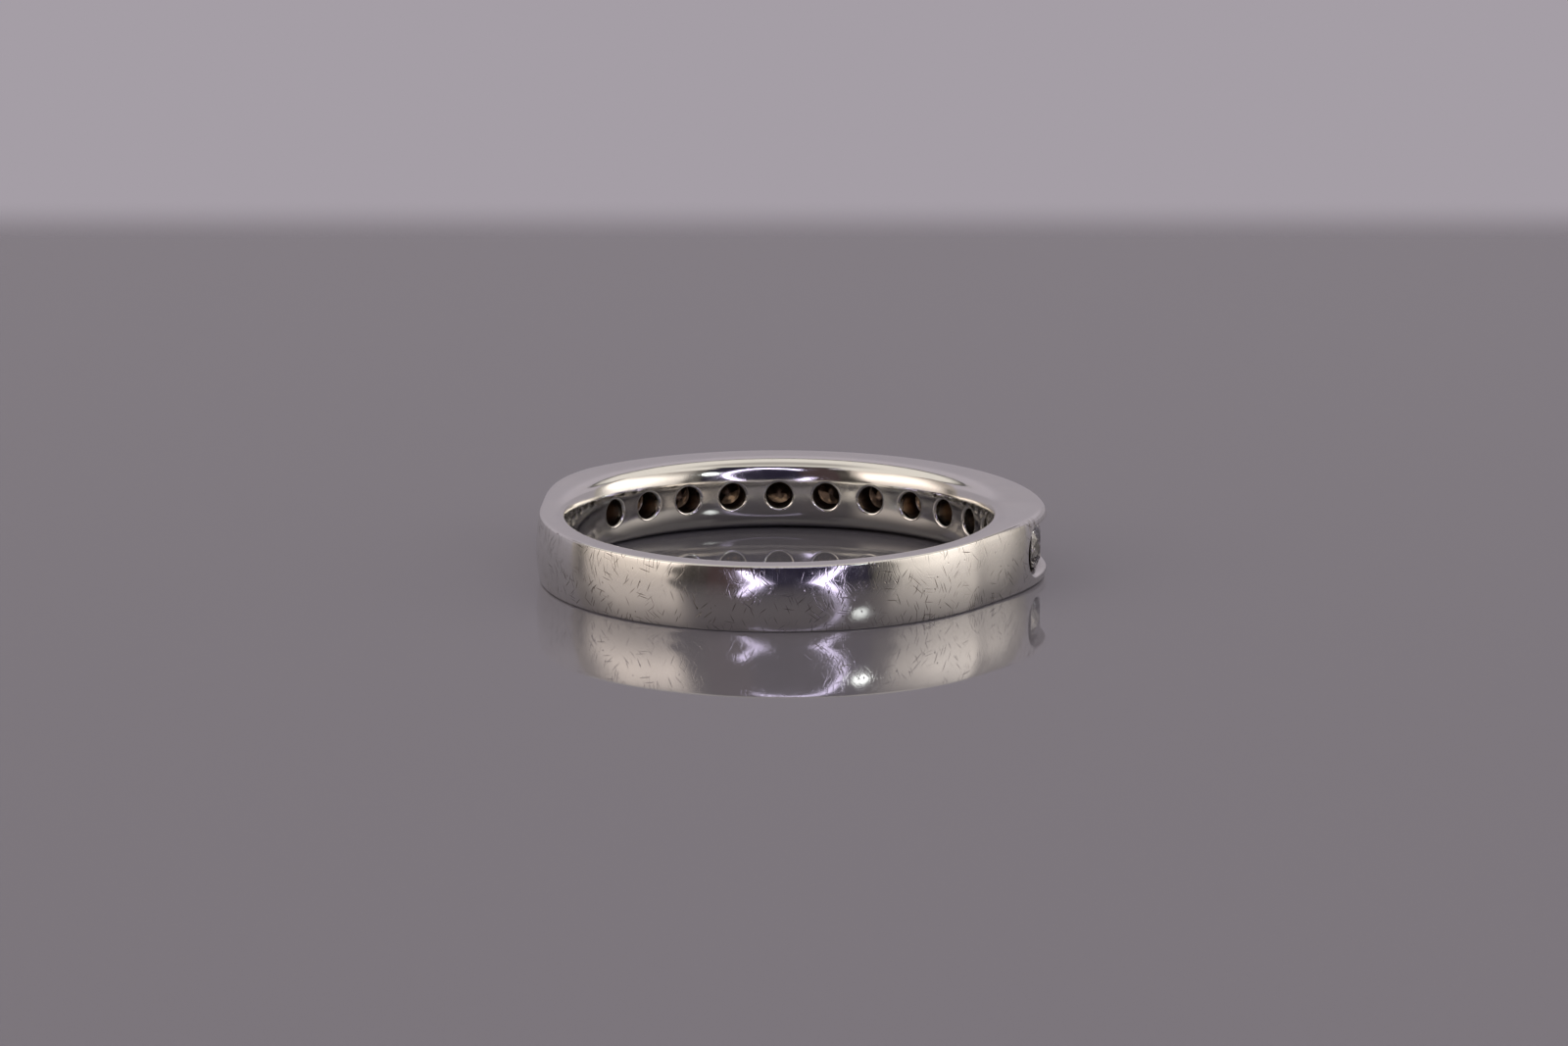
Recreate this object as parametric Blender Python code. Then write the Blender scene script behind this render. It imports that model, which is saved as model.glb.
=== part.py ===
"""A channel set band ring, lying on its side.

Units are metres, +Z is up and the ring rests on one flat side at z = 0. The middle of the row of
stones faces -Y and the plain shank runs round the +Y side. The origin is at the middle of the
footprint, on the surface that the ring rests on. Angles round the ring are measured from the middle
of the row, positive towards +X.

The ring is one casting, the band, with a channel cut into its outer face. Twelve round brilliants sit
in seats under the channel's two walls, and a drilled hole behind each stone opens into the bore.
"""

import math

import bmesh
import bpy
from mathutils import Vector

MM = 0.001

# Finger hole, arched across its width for comfort: its radius is the one at mid width. The arch falls
# away evenly by COMFORT_RISE towards the edges, and close to them by EASED_EDGE more. The edges are
# well rounded behind the row of stones, and crisper round the shank.
BORE_RADIUS = 8.5 * MM
COMFORT_RISE = 0.03 * MM
EASED_EDGE = 0.145 * MM
EASED_EDGE_POWER = 4
INNER_EDGE_RADIUS = 0.45 * MM
SHANK_INNER_EDGE_RADIUS = 0.1 * MM

# Stones: round brilliants with the usual proportions
STONE_COUNT = 12
STONE_DIAMETER = 2.25 * MM
STONE_SPACING = 0.07 * MM
TABLE_DIAMETER = 1.26 * MM
GIRDLE_HEIGHT = 0.068 * MM
CROWN_ANGLE = math.radians(34.5)
PAVILION_ANGLE = math.radians(41)
STAR_REACH = 0.78
LOWER_HALF_REACH = 0.24
STONE_TURN = math.radians(19)

# Seats and drilled holes
SEAT_CLEARANCE = 0.04 * MM
CULET_ABOVE_BORE = 0.66 * MM
HOLE_DIAMETER = 1.08 * MM
HOLE_RIM_CHAMFER = 0.11 * MM

# Channel and its walls. Past the outermost stones the channel runs on by RUN_OUT, and its floor rises
# there to END_LEDGE under the outer face.
WALL_BEHIND_GIRDLE = 0.3 * MM
WALL_OVER_GIRDLE = 0.225 * MM
WALL_SLOPE = 0.15 * MM
WALL_OVER_TABLE = 0.39 * MM
LIP_CHAMFER = 0.07 * MM
CHANNEL_FLOOR_DROP = 0.3 * MM
RUN_OUT = 1.3 * MM
END_LEDGE = 0.25 * MM

# Shank
SHANK_THICKNESS = 1.3 * MM
SHANK_WIDTH = 2.65 * MM
RAMP_START_BEFORE_END = 2.3 * MM
RAMP_LENGTH = 7.1 * MM

# Outer face of the band all round
DOME_RISE = 0.13 * MM
OUTER_EDGE_RADIUS = 0.1 * MM

# Facets of the round forms
BAND_SECTIONS = 96
BORE_SHARES = (0.3, 0.62, 0.84)
DOME_SHARES = (0.7, 0.35)
INNER_ROUNDING_STEPS = 4
OUTER_ROUNDING_STEPS = 2
REACH_PASSES = 20
SEAT_SIDES = 24
CHANNEL_STEPS_PER_STONE = 3
RUN_OUT_STEPS = 3
CHANNEL_END_STEPS = 6
CUTTER_MARGIN = 0.4 * MM
CROWN_CLEARANCE_REACH = 0.9
MERGE_DISTANCE = 1e-8
SMOOTH_UP_TO = math.radians(30)

# Sizes that follow from the ones above
STONE_RADIUS = STONE_DIAMETER / 2
CROWN_HEIGHT = (STONE_DIAMETER - TABLE_DIAMETER) / 2 * math.tan(CROWN_ANGLE)
PAVILION_DEPTH = STONE_RADIUS * math.tan(PAVILION_ANGLE)
GIRDLE_BASE_RADIUS = BORE_RADIUS + CULET_ABOVE_BORE + PAVILION_DEPTH
GIRDLE_TOP_RADIUS = GIRDLE_BASE_RADIUS + GIRDLE_HEIGHT
TABLE_RADIUS = GIRDLE_TOP_RADIUS + CROWN_HEIGHT
SETTING_THICKNESS = TABLE_RADIUS + WALL_OVER_TABLE - BORE_RADIUS
SETTING_WIDTH = STONE_DIAMETER + 2 * (SEAT_CLEARANCE + WALL_BEHIND_GIRDLE)
CHANNEL_HALF_WIDTH = STONE_RADIUS - WALL_OVER_GIRDLE
STONE_PITCH = 2 * (
    math.atan(STONE_RADIUS / GIRDLE_BASE_RADIUS)
    + math.asin(STONE_SPACING / 2 / math.hypot(GIRDLE_BASE_RADIUS, STONE_RADIUS))
)
LAST_STONE_ANGLE = (STONE_COUNT - 1) / 2 * STONE_PITCH
CHANNEL_END_ANGLE = LAST_STONE_ANGLE + STONE_RADIUS / GIRDLE_BASE_RADIUS
RAMP_START_ANGLE = CHANNEL_END_ANGLE - RAMP_START_BEFORE_END / GIRDLE_BASE_RADIUS
RAMP_END_ANGLE = min(math.pi, RAMP_START_ANGLE + RAMP_LENGTH / GIRDLE_BASE_RADIUS)
RUN_OUT_ANGLE = LAST_STONE_ANGLE + RUN_OUT / GIRDLE_BASE_RADIUS
FLOOR_END_ANGLE = RUN_OUT_ANGLE + CHANNEL_HALF_WIDTH / GIRDLE_BASE_RADIUS
SETTING_MID_HEIGHT = SETTING_WIDTH / 2
LIP_HALF_WIDTH = CHANNEL_HALF_WIDTH + WALL_SLOPE + LIP_CHAMFER
LIP_DROP = DOME_RISE * (LIP_HALF_WIDTH / (SETTING_MID_HEIGHT - OUTER_EDGE_RADIUS)) ** 2
BORE_CENTRE_Y = (SETTING_THICKNESS - LIP_DROP - SHANK_THICKNESS) / 2


def ring_point(radius, angle, height):
    return Vector((radius * math.sin(angle), -radius * math.cos(angle), height))


def along_ramp(angle, setting_size, shank_size):
    """A size of the band at one angle: the setting's, easing over the ramp to the shank's."""
    share = (abs(angle) - RAMP_START_ANGLE) / (RAMP_END_ANGLE - RAMP_START_ANGLE)
    share = min(max(share, 0), 1)
    eased = (1 - math.cos(math.pi * share)) / 2
    return setting_size + (shank_size - setting_size) * eased


def thickness_at(angle):
    """Radial thickness at the crest of the dome."""
    return along_ramp(angle, SETTING_THICKNESS, SHANK_THICKNESS)


def width_at(angle):
    """Width across the band: even over the row, then narrowing evenly to the back of the shank."""
    row_end = -math.cos(RAMP_START_ANGLE)
    share = (-math.cos(angle) - row_end) / (1 - row_end)
    return SETTING_WIDTH + (SHANK_WIDTH - SETTING_WIDTH) * max(share, 0)


def bore_rise(share):
    """How far the arched bore has fallen back at a share of the way from mid width to its edge."""
    return COMFORT_RISE * share**2 + EASED_EDGE * share**EASED_EDGE_POWER


def face_end(half_width, edge_radius, steepness):
    """Where an arched face meets its edge rounding: its distance from mid width and its slope there."""
    reach = half_width
    for _ in range(REACH_PASSES):
        slope = math.atan(steepness / reach)
        reach = half_width - edge_radius * (1 - math.sin(slope))
    return reach, slope


def rounding(radius, reach, slope, edge_radius, outward, steps):
    """The rounding that leads from the end of an arched face, at its slope, to the side face."""
    centre_radius = radius - outward * edge_radius * math.cos(slope)
    centre_height = reach - edge_radius * math.sin(slope)
    points = []
    for step in range(steps + 1):
        turn = slope + (math.pi / 2 - slope) * step / steps
        across = outward * edge_radius * math.cos(turn)
        points.append((centre_radius + across, centre_height + edge_radius * math.sin(turn)))
    return points


def band_section(angle):
    """One closed section of the band as points, round from the bore to the outer face and back."""
    half_width = width_at(angle) / 2
    crest = BORE_RADIUS + thickness_at(angle)
    inner_radius = along_ramp(angle, INNER_EDGE_RADIUS, SHANK_INNER_EDGE_RADIUS)
    bore_steepness = 2 * COMFORT_RISE + EASED_EDGE_POWER * EASED_EDGE
    bore_reach, bore_slope = face_end(half_width, inner_radius, bore_steepness)
    dome_reach, dome_slope = face_end(half_width, OUTER_EDGE_RADIUS, 2 * DOME_RISE)
    bore_end = BORE_RADIUS + bore_rise(1)
    dome_end = crest - DOME_RISE
    inner = rounding(bore_end, bore_reach, bore_slope, inner_radius, -1, INNER_ROUNDING_STEPS)
    outer = rounding(dome_end, dome_reach, dome_slope, OUTER_EDGE_RADIUS, 1, OUTER_ROUNDING_STEPS)
    upper = [(BORE_RADIUS + bore_rise(share), bore_reach * share) for share in BORE_SHARES]
    upper += inner + outer[::-1]
    upper += [(crest - DOME_RISE * share**2, dome_reach * share) for share in DOME_SHARES]
    lower = [(radius, -height) for radius, height in reversed(upper)]
    return [ring_point(radius, angle, half_width + height) for radius, height in upper + lower]


def floor_radius(angle):
    """Radius of the channel's floor: even under the stones, then rising over each run-out."""
    low = GIRDLE_BASE_RADIUS - CHANNEL_FLOOR_DROP
    high = BORE_RADIUS + thickness_at(FLOOR_END_ANGLE) - END_LEDGE
    share = (abs(angle) - CHANNEL_END_ANGLE) / (FLOOR_END_ANGLE - CHANNEL_END_ANGLE)
    return low + (high - low) * min(max(share, 0), 1)


def channel_levels(angle):
    """Radii of the channel cutter's corners at one angle, from the floor up."""
    floor = floor_radius(angle)
    lip = BORE_RADIUS + thickness_at(angle) - LIP_DROP
    chamfer = lip - LIP_CHAMFER
    return floor, min(GIRDLE_TOP_RADIUS, (floor + chamfer) / 2), chamfer, lip + CUTTER_MARGIN


def channel_section(along, turn):
    """One section across the channel cutter, at an angle along the row.

    turn is 0 over the straight run, and goes to a quarter turn, either way, round a rounded end.
    """
    half_widths = (
        CHANNEL_HALF_WIDTH,
        CHANNEL_HALF_WIDTH,
        LIP_HALF_WIDTH - LIP_CHAMFER,
        LIP_HALF_WIDTH + CUTTER_MARGIN,
    )
    sides = []
    for side in (1, -1):
        points = []
        for level, half_width in enumerate(half_widths):
            angle = along + half_width * math.sin(turn) / GIRDLE_BASE_RADIUS
            height = SETTING_MID_HEIGHT + side * half_width * math.cos(turn)
            points.append(ring_point(channel_levels(angle)[level], angle, height))
        sides.append(points)
    return sides[0] + sides[1][::-1]


def channel_sections():
    quarter = math.pi / 2
    turns = [quarter * step / CHANNEL_END_STEPS for step in range(1, CHANNEL_END_STEPS + 1)]
    steps = (STONE_COUNT - 1) * CHANNEL_STEPS_PER_STONE
    row = [-LAST_STONE_ANGLE + 2 * LAST_STONE_ANGLE * step / steps for step in range(steps + 1)]
    span = RUN_OUT_ANGLE - LAST_STONE_ANGLE
    run_out = [LAST_STONE_ANGLE + span * step / RUN_OUT_STEPS for step in range(1, RUN_OUT_STEPS + 1)]
    straight = [-angle for angle in reversed(run_out)] + row + run_out
    sections = [channel_section(-RUN_OUT_ANGLE, -turn) for turn in reversed(turns)]
    sections += [channel_section(angle, 0) for angle in straight]
    sections += [channel_section(RUN_OUT_ANGLE, turn) for turn in turns]
    return sections


def mesh_from(bm, name):
    """Turns a bmesh into a mesh with its normals facing out."""
    bmesh.ops.remove_doubles(bm, verts=bm.verts, dist=MERGE_DISTANCE)
    bmesh.ops.recalc_face_normals(bm, faces=bm.faces)
    mesh = bpy.data.meshes.new(name)
    bm.to_mesh(mesh)
    bm.free()
    return mesh


def loft(name, sections, closed):
    """Joins sections of equally many points: round in a loop, or capped at its two ends."""
    bm = bmesh.new()
    rings = [[bm.verts.new(point) for point in section] for section in sections]
    pairs = list(zip(rings, rings[1:]))
    if closed:
        pairs.append((rings[-1], rings[0]))
    else:
        bm.faces.new(rings[0])
        bm.faces.new(rings[-1])
    count = len(rings[0])
    for first, second in pairs:
        for i in range(count):
            j = (i + 1) % count
            bm.faces.new((first[i], first[j], second[j], second[i]))
    return mesh_from(bm, name)


def turned(name, profile, sides):
    """A solid of revolution about local Z from (radius, height) points that start and end on it.

    The radii are those of the flats, so that a turned cutter clears what is round.
    """
    bm = bmesh.new()
    corner = 1 / math.cos(math.pi / sides)
    points = [bm.verts.new((radius * corner, 0, height)) for radius, height in profile]
    edges = [bm.edges.new(pair) for pair in zip(points, points[1:])]
    bmesh.ops.spin(
        bm,
        geom=points + edges,
        cent=(0, 0, 0),
        axis=(0, 0, 1),
        angle=2 * math.pi,
        steps=sides,
        use_merge=True,
    )
    return mesh_from(bm, name)


def seat_profile():
    """The seat burr and the drill behind it in one profile, heights from the girdle's lower edge."""
    bore = BORE_RADIUS - GIRDLE_BASE_RADIUS
    hole = HOLE_DIAMETER / 2
    girdle = STONE_RADIUS + SEAT_CLEARANCE
    pavilion_offset = SEAT_CLEARANCE / math.sin(PAVILION_ANGLE)
    crown_offset = SEAT_CLEARANCE / math.sin(CROWN_ANGLE)
    crown_top = CHANNEL_HALF_WIDTH * CROWN_CLEARANCE_REACH

    def pavilion_height(radius):
        return (radius - pavilion_offset - STONE_RADIUS) * math.tan(PAVILION_ANGLE)

    def crown_height(radius):
        return GIRDLE_HEIGHT + (STONE_RADIUS + crown_offset - radius) * math.tan(CROWN_ANGLE)

    return [
        (0, bore - CUTTER_MARGIN),
        (hole + HOLE_RIM_CHAMFER + CUTTER_MARGIN, bore - CUTTER_MARGIN),
        (hole, bore + HOLE_RIM_CHAMFER),
        (hole, pavilion_height(hole)),
        (girdle, pavilion_height(girdle)),
        (girdle, crown_height(girdle)),
        (crown_top, crown_height(crown_top)),
        (0, crown_height(crown_top)),
    ]


def brilliant_mesh():
    """A round brilliant with its axis on local Z and its girdle's lower edge at z = 0.

    Eight kites run from the table's corners to the girdle, and eight mains from the girdle to the
    culet. The star tips and the tips of the lower halves lie where two neighbouring ones meet.
    """
    eighth = math.pi / 4
    half_step = eighth / 2
    bm = bmesh.new()

    def add(radius, turn, height):
        bm.verts.new((radius * math.cos(turn), radius * math.sin(turn), height))

    for k in range(8):
        corner = eighth * k
        between = corner + half_step
        star = STONE_RADIUS * STAR_REACH
        star_height = (STONE_RADIUS - star * math.cos(half_step)) * math.tan(CROWN_ANGLE)
        lower = STONE_RADIUS * LOWER_HALF_REACH
        lower_height = (lower * math.cos(half_step) - STONE_RADIUS) * math.tan(PAVILION_ANGLE)
        add(TABLE_DIAMETER / 2, corner, GIRDLE_HEIGHT + CROWN_HEIGHT)
        add(star, between, GIRDLE_HEIGHT + star_height)
        add(lower, between, lower_height)
        for turn in (corner, between):
            add(STONE_RADIUS, turn, GIRDLE_HEIGHT)
            add(STONE_RADIUS, turn, 0)
    add(0, 0, -PAVILION_DEPTH)
    bmesh.ops.convex_hull(bm, input=bm.verts)
    return mesh_from(bm, "brilliant")


def principled(name, colour, metallic, roughness, transmission=0.0, ior=1.5):
    material = bpy.data.materials.new(name)
    material.use_nodes = True
    shader = material.node_tree.nodes["Principled BSDF"]
    shader.inputs["Base Color"].default_value = (*colour, 1)
    shader.inputs["Metallic"].default_value = metallic
    shader.inputs["Roughness"].default_value = roughness
    shader.inputs["Transmission Weight"].default_value = transmission
    shader.inputs["IOR"].default_value = ior
    material.diffuse_color = (*colour, 1)
    return material


def add_object(name, mesh, collection, parent, material=None):
    made = bpy.data.objects.new(name, mesh)
    collection.objects.link(made)
    made.parent = parent
    if material and not mesh.materials:
        mesh.materials.append(material)
    return made


def add_cutter(name, mesh, collection, parent, target):
    cutter = add_object(name, mesh, collection, parent)
    cutter.hide_render = True
    cutter.display_type = "WIRE"
    cut = target.modifiers.new(name, "BOOLEAN")
    cut.operation = "DIFFERENCE"
    cut.solver = "EXACT"
    cut.object = cutter
    return cutter


def place_on_row(piece, index):
    """Puts a piece's own axis through the middle of one stone, pointing out from the bore."""
    angle = (index - (STONE_COUNT - 1) / 2) * STONE_PITCH
    piece.location = ring_point(GIRDLE_BASE_RADIUS, angle, SETTING_MID_HEIGHT)
    piece.rotation_euler = (math.pi / 2, 0, angle)


def clear_scene():
    for leftover in list(bpy.data.objects):
        bpy.data.objects.remove(leftover, do_unlink=True)


def build_ring():
    clear_scene()
    scene = bpy.context.scene
    parts = bpy.data.collections.new("channel_set_band_ring")
    cutters = bpy.data.collections.new("cutters")
    scene.collection.children.link(parts)
    scene.collection.children.link(cutters)

    white_gold = principled("white_gold", (0.72, 0.69, 0.66), 1.0, 0.15)
    diamond = principled("diamond", (0.95, 0.95, 0.97), 0.0, 0.02, 1.0, 2.417)

    bore_axis = bpy.data.objects.new("bore_axis", None)
    bore_axis.location = (0, BORE_CENTRE_Y, 0)
    parts.objects.link(bore_axis)

    angles = [2 * math.pi * k / BAND_SECTIONS - math.pi for k in range(BAND_SECTIONS)]
    band_mesh = loft("band", [band_section(angle) for angle in angles], closed=True)
    band = add_object("band", band_mesh, parts, bore_axis, white_gold)
    channel_mesh = loft("channel", channel_sections(), closed=False)
    add_cutter("channel", channel_mesh, cutters, bore_axis, band)

    seat_mesh = turned("seat", seat_profile(), SEAT_SIDES)
    stone_mesh = brilliant_mesh()
    for index in range(STONE_COUNT):
        number = f"{index + 1:02d}"
        place_on_row(add_cutter(f"seat_{number}", seat_mesh, cutters, bore_axis, band), index)
        stone = add_object(f"stone_{number}", stone_mesh, parts, bore_axis, diamond)
        place_on_row(stone, index)
        stone.rotation_euler.rotate_axis("Z", STONE_TURN * index)
    band_mesh.shade_smooth()
    band_mesh.set_sharp_from_angle(angle=SMOOTH_UP_TO)


build_ring()
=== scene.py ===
"""The looks of the channel set band ring: metal, stones, floor, light and camera.

Units are metres in the CAD frame. Angles round the ring are measured from the middle of the row of
stones, positive towards +X, and z is the height above the surface that the ring rests on.

The band is one dense mesh of four-sided faces that follows the CAD band, with true rounded edges. Its
patches meet along shared columns of points that cross the band, STEPS columns to a stone. Where a
stone sits, the patch is rings of points that run from its hole out to the patch's edge.
"""

import math

import bmesh
import bpy
import numpy as np
from mathutils import Matrix, Vector

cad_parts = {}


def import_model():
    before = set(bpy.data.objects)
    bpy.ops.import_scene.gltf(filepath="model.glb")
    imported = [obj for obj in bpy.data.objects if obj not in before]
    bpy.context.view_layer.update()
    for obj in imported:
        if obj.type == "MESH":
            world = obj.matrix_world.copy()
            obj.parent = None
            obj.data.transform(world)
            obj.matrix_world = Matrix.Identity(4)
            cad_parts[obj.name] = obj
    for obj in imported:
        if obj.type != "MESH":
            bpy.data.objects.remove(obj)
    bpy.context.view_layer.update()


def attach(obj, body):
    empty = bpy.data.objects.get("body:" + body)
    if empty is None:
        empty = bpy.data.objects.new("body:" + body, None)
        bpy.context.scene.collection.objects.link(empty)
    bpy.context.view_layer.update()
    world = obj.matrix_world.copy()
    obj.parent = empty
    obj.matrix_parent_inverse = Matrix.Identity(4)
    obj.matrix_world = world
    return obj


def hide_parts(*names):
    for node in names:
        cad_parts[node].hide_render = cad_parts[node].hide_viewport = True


MM = 0.001

# Sizes of the CAD model
BORE_RADIUS = 8.5 * MM
COMFORT_RISE = 0.03 * MM
EASED_EDGE = 0.145 * MM
EASED_EDGE_POWER = 4
INNER_EDGE_RADIUS = 0.45 * MM
SHANK_INNER_EDGE_RADIUS = 0.1 * MM
STONE_COUNT = 12
STONE_DIAMETER = 2.25 * MM
STONE_SPACING = 0.07 * MM
TABLE_DIAMETER = 1.26 * MM
GIRDLE_HEIGHT = 0.068 * MM
CROWN_ANGLE = math.radians(34.5)
PAVILION_ANGLE = math.radians(41)
STAR_REACH = 0.78
LOWER_HALF_REACH = 0.24
STONE_TURN = math.radians(19)
SEAT_CLEARANCE = 0.04 * MM
CULET_ABOVE_BORE = 0.66 * MM
HOLE_RADIUS = 0.54 * MM
WALL_BEHIND_GIRDLE = 0.3 * MM
WALL_OVER_GIRDLE = 0.225 * MM
WALL_SLOPE = 0.15 * MM
WALL_OVER_TABLE = 0.39 * MM
LIP_CHAMFER = 0.07 * MM
CHANNEL_FLOOR_DROP = 0.3 * MM
RUN_OUT = 1.3 * MM
END_LEDGE = 0.25 * MM
SHANK_THICKNESS = 1.3 * MM
SHANK_WIDTH = 2.65 * MM
RAMP_START_BEFORE_END = 2.3 * MM
RAMP_LENGTH = 7.1 * MM
DOME_RISE = 0.13 * MM
OUTER_EDGE_RADIUS = 0.1 * MM

# Roundings of the holes' rims and the lips, which the CAD model has as chamfers, and of the outer
# edges, which wear has softened beside the row. An inner edge's rounding is slacker towards the side
# face: there its radius has gained INNER_SLACKENING times itself.
HOLE_RIM_RADIUS = 0.11 * MM
LIP_RADIUS = 0.08 * MM
SETTING_EDGE_RADIUS = 0.26 * MM
SHANK_EDGE_RADIUS = 0.09 * MM
INNER_SLACKENING = 5
SLACKENING_POWER = 4

# Worked out from the sizes
STONE_RADIUS = STONE_DIAMETER / 2
CROWN_HEIGHT = (STONE_DIAMETER - TABLE_DIAMETER) / 2 * math.tan(CROWN_ANGLE)
PAVILION_DEPTH = STONE_RADIUS * math.tan(PAVILION_ANGLE)
GIRDLE_BASE_RADIUS = BORE_RADIUS + CULET_ABOVE_BORE + PAVILION_DEPTH
GIRDLE_TOP_RADIUS = GIRDLE_BASE_RADIUS + GIRDLE_HEIGHT
SEAT_REACH = STONE_RADIUS + SEAT_CLEARANCE / math.sin(PAVILION_ANGLE)
SEAT_BOTTOM_RADIUS = GIRDLE_BASE_RADIUS - (SEAT_REACH - HOLE_RADIUS) * math.tan(PAVILION_ANGLE)
PIT_RADIUS = SEAT_REACH - CHANNEL_FLOOR_DROP / math.tan(PAVILION_ANGLE)
FLOOR_RADIUS = GIRDLE_BASE_RADIUS - CHANNEL_FLOOR_DROP
SETTING_THICKNESS = GIRDLE_TOP_RADIUS + CROWN_HEIGHT + WALL_OVER_TABLE - BORE_RADIUS
SETTING_WIDTH = STONE_DIAMETER + 2 * (SEAT_CLEARANCE + WALL_BEHIND_GIRDLE)
CHANNEL_HALF_WIDTH = STONE_RADIUS - WALL_OVER_GIRDLE
STONE_PITCH = 2 * (
    math.atan(STONE_RADIUS / GIRDLE_BASE_RADIUS)
    + math.asin(STONE_SPACING / 2 / math.hypot(GIRDLE_BASE_RADIUS, STONE_RADIUS))
)
LAST_STONE_ANGLE = (STONE_COUNT - 1) / 2 * STONE_PITCH
CHANNEL_END_ANGLE = LAST_STONE_ANGLE + STONE_RADIUS / GIRDLE_BASE_RADIUS
RAMP_START_ANGLE = CHANNEL_END_ANGLE - RAMP_START_BEFORE_END / GIRDLE_BASE_RADIUS
RAMP_END_ANGLE = RAMP_START_ANGLE + RAMP_LENGTH / GIRDLE_BASE_RADIUS
RUN_OUT_ANGLE = LAST_STONE_ANGLE + RUN_OUT / GIRDLE_BASE_RADIUS
FLOOR_END_ANGLE = RUN_OUT_ANGLE + CHANNEL_HALF_WIDTH / GIRDLE_BASE_RADIUS
SETTING_MID_HEIGHT = SETTING_WIDTH / 2
LIP_HALF_WIDTH = CHANNEL_HALF_WIDTH + WALL_SLOPE + LIP_CHAMFER
LIP_DROP = DOME_RISE * (LIP_HALF_WIDTH / (SETTING_MID_HEIGHT - OUTER_EDGE_RADIUS)) ** 2
BORE_CENTRE_Y = (SETTING_THICKNESS - LIP_DROP - SHANK_THICKNESS) / 2

# Steps of the band's mesh: along a stone and the shank, and across each kind of face. A spread above 1
# crowds a face's steps towards its first edge, and one below 1 towards its last. RING_TURNS are the
# turns round a stone's axis of the points of one ring, from the patch's lower left corner on.
STEPS = 16
HALF = STEPS // 2
RING_TURNS = np.radians(225) + 2 * np.pi * np.arange(4 * STEPS) / (4 * STEPS)
SHANK_STEPS = 128
SIDE_STEPS = 4
FILLET_STEPS = 8
FILLET_FINENESS = 8
BORE_STEPS = 7
BORE_SPREAD = 1.4
PIT_STEPS = 3
FLOOR_STEPS = 2
FACE_STEPS = 6
FACE_SPREAD = 0.8
LEVEL_STEPS = 2
REACH_PASSES = 20
MERGE_DISTANCE = 1e-9
SHARP_ANGLE = math.radians(38)
PATCH_PAST_RUN_OUT = 1.65 * MM
PATCH_END_ANGLE = RUN_OUT_ANGLE + PATCH_PAST_RUN_OUT / GIRDLE_BASE_RADIUS

# Channel wall: how far its foot at the crowns stands back from the floor's edge, how deep the groove
# stays where it closes, and how far up the wall its foot may come as the floor rises
WALL_FOOT = 0.045 * MM
LEAST_GROOVE = 0.004 * MM
HIGHEST_FOOT = 0.6

# Shut-in metal is painted darker and browner: grime with painted shade.
# How shut in the metal is, from 0 in the open to 1: down a hole from its rim, down a channel wall from
# its lip, and how much less the channel's open ends are, past a step in degrees from the row's middle
HOLE_SHELTER = (0.25, 0.8, 1, 1, 1)
WALL_SHELTER = (0, 0.05, 0.15, 0.3, 0.5)
OPEN_END = 0.8
OPEN_END_STEP = (76, 82)

# Mesh of a stone, with its distances in millimetres. The girdle's faces point up or down by less than
# GIRDLE_LEAN.
GIRDLE_SIDES = 64
MAINS = 8
CUT_DISTANCE = 1e-6
CORNER_DISTANCE = 1e-5
GIRDLE_LEAN = 0.05

# Hairline scratches in the metal: turn in degrees, length, width, share of places kept, and depth.
# All lengths of the metal's marks are in millimetres.
SCRATCHES = (
    (68, 0.8, 0.049, 0.50, 0.0025),
    (112, 0.6, 0.049, 0.50, 0.0025),
    (40, 1.0, 0.047, 0.32, 0.0023),
    (138, 0.7, 0.047, 0.34, 0.0023),
    (88, 1.2, 0.045, 0.26, 0.0020),
    (10, 0.8, 0.045, 0.20, 0.0020),
    (55, 0.12, 0.08, 0.08, 0.0050),
)
# Dense and much finer hairlines, which show only beside bright reflections: turn, length, width, depth
HAZE = (
    (57, 0.8, 0.045, 0.0010),
    (100, 0.7, 0.045, 0.0010),
    (130, 0.6, 0.045, 0.0010),
)
# Each scratch has a cell SCRATCH_ROOM times as long and wide. It is deepest within SCRATCH_CORE of the
# cell's point and ends SCRATCH_EDGE from it. The faintest has FAINTEST_SCRATCH of its depth.
SCRATCH_ROOM = 2.5
SCRATCH_CORE = 0.03
SCRATCH_EDGE = 0.2
FAINTEST_SCRATCH = 0.2
# How the scratches curve: scale of the noise that bends them, and how far it moves them
WAVER_SCALE = 0.6
WAVER = 0.06
# Share of the wear that the faces out of the way of knocks keep
SPARED = 0.22
# Slow waves left by hand polishing: size and height
WAVES = ((0.45, 0.0007), (1.6, 0.0012))

# Clouds of noise: scale to the millimetre on the metal and to the metre in the stones, detail, the two
# noise levels that a change runs between, and the two values that it runs between
WEAR_CLOUD = (0.45, 1.0, 0.38, 0.62, 0.55, 1.1)
POLISH_CLOUD = (1.3, 3.0, 0.3, 0.7, 0.07, 0.15)
TINT_CLOUD = (0.5, 2.0, 0.3, 0.7, 0.0, 1.0)
SMEAR_CLOUD = (1900, 3.0, 0.3, 0.7, 0.06, 0.16)
AMBER_GLINT_CLOUD = (2300, 1.0, 0.56, 0.68, 0.0, 1.0)

# Metal: its two tints, and what scratches and grime do to its colour and add to its roughness, the
# grime's colour being painted shade too. The marks darken it between the two strengths of SCRATCH_SHADE.
PALE_GOLD = (0.80, 0.785, 0.74, 1)
DEEP_GOLD = (0.78, 0.77, 0.735, 1)
SCRATCH_COLOUR = (0.15, 0.125, 0.11, 1)
SHUT_IN_SHADE_AND_GRIME_COLOUR = (0.13, 0.095, 0.07, 1)
SCRATCH_SHADE = (0.12, 0.6)
SCRATCH_ROUGHNESS = 0.2
GRIME_ROUGHNESS = 0.3
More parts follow.
